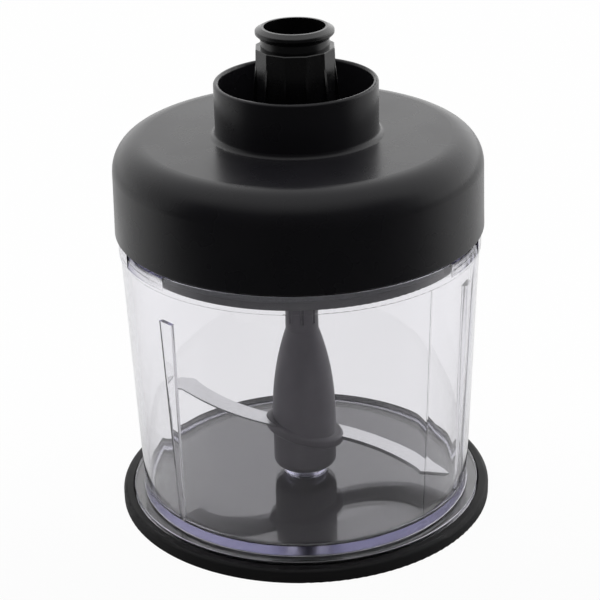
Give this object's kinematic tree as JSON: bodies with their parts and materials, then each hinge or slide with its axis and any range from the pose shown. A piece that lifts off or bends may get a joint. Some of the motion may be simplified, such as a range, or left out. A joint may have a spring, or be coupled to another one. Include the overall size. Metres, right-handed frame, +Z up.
{
  "type": "hand blender chopper attachment",
  "caption": "Round chopper bowl of clear plastic on a rubber base, with a turning knife and a geared black lid whose coupling tube takes a hand blender.",
  "frame": {"origin": "under the middle of the rubber base, on the surface that it stands on", "axes": "+Z up along the axis of the bowl, knife and coupling tube; -Y is the front of the picture, +X is its right"},
  "size_m": [0.1254, 0.1254, 0.1634],
  "materials": {
    "black_rubber": "matt",
    "clear_plastic": "clear, polished",
    "steel": "satin",
    "dark_grey_plastic": "fine matt",
    "grey_rubber": "smooth",
    "black_plastic": "satin",
    "gear_plastic": "moulded",
    "bush_bronze": "sintered"
  },
  "bodies": {
    "base": {"non_slip_base": "black_rubber"},
    "bowl": {"bowl": "clear_plastic", "bowl_pivot_pin": "steel"},
    "knife": {"knife_hub": "dark_grey_plastic", "knife_blade": "steel"},
    "lid_seal": {"lid_seal": "grey_rubber"},
    "lid": {"lid_shell": "black_plastic", "coupling_spigot": "black_plastic", "gear_cover": "dark_grey_plastic", "ring_gear": "gear_plastic", "gear_screws": "steel", "upper_bush": "bush_bronze", "lower_bush": "bush_bronze", "shaft_seal": "black_rubber", "carrier_washer": "steel", "sun_washer": "steel", "drive_washer": "steel"},
    "drive": {"input_shaft": "steel", "sun_gear": "steel", "drive_dog": "dark_grey_plastic", "dog_clip": "steel"},
    "carrier": {"planet_carrier": "gear_plastic", "carrier_top_plate": "steel", "planet_pins": "steel", "output_shaft": "steel", "drive_socket": "dark_grey_plastic"},
    "planet_1": {"planet_gear_1": "gear_plastic"},
    "planet_2": {"planet_gear_2": "gear_plastic"},
    "planet_3": {"planet_gear_3": "gear_plastic"}
  },
  "joints": [
    {"name": "bowl_lift", "type": "slide", "parent": "base", "child": "bowl", "axis": [0, 0, 1], "range_m": [0, 0.03]},
    {"name": "lid_lift", "type": "slide", "parent": "bowl", "child": "lid_seal", "axis": [0, 0, 1], "range_m": [0, 0.04]},
    {"name": "lid_turn", "type": "hinge", "parent": "lid_seal", "child": "lid", "pos_m": [0, 0, 0.098], "axis": [0, 0, -1], "range_deg": [0, 22]},
    {"name": "drive_spin", "type": "hinge", "parent": "lid", "child": "drive", "pos_m": [0, 0, 0.1441], "axis": [0, 0, 1], "continuous": true},
    {"name": "carrier_spin", "type": "hinge", "parent": "lid", "child": "carrier", "pos_m": [0, 0, 0.111], "axis": [0, 0, 1], "continuous": true},
    {"name": "planet_1_spin", "type": "hinge", "parent": "carrier", "child": "planet_1", "pos_m": [0.018, 0, 0.1171], "axis": [0, 0, 1], "continuous": true},
    {"name": "planet_2_spin", "type": "hinge", "parent": "carrier", "child": "planet_2", "pos_m": [-0.009, 0.01559, 0.1171], "axis": [0, 0, 1], "continuous": true},
    {"name": "planet_3_spin", "type": "hinge", "parent": "carrier", "child": "planet_3", "pos_m": [-0.009, -0.01559, 0.1171], "axis": [0, 0, 1], "continuous": true},
    {"name": "knife_spin", "type": "hinge", "parent": "bowl", "child": "knife", "pos_m": [0, 0, 0.0244], "axis": [0, 0, 1], "continuous": true}
  ],
  "couplings": [
    {"joint": "carrier_spin", "follows": "drive_spin", "ratio": 0.25},
    {"joint": "planet_1_spin", "follows": "drive_spin", "ratio": -0.75},
    {"joint": "planet_2_spin", "follows": "drive_spin", "ratio": -0.75},
    {"joint": "planet_3_spin", "follows": "drive_spin", "ratio": -0.75},
    {"joint": "knife_spin", "follows": "drive_spin", "ratio": 0.25}
  ]
}
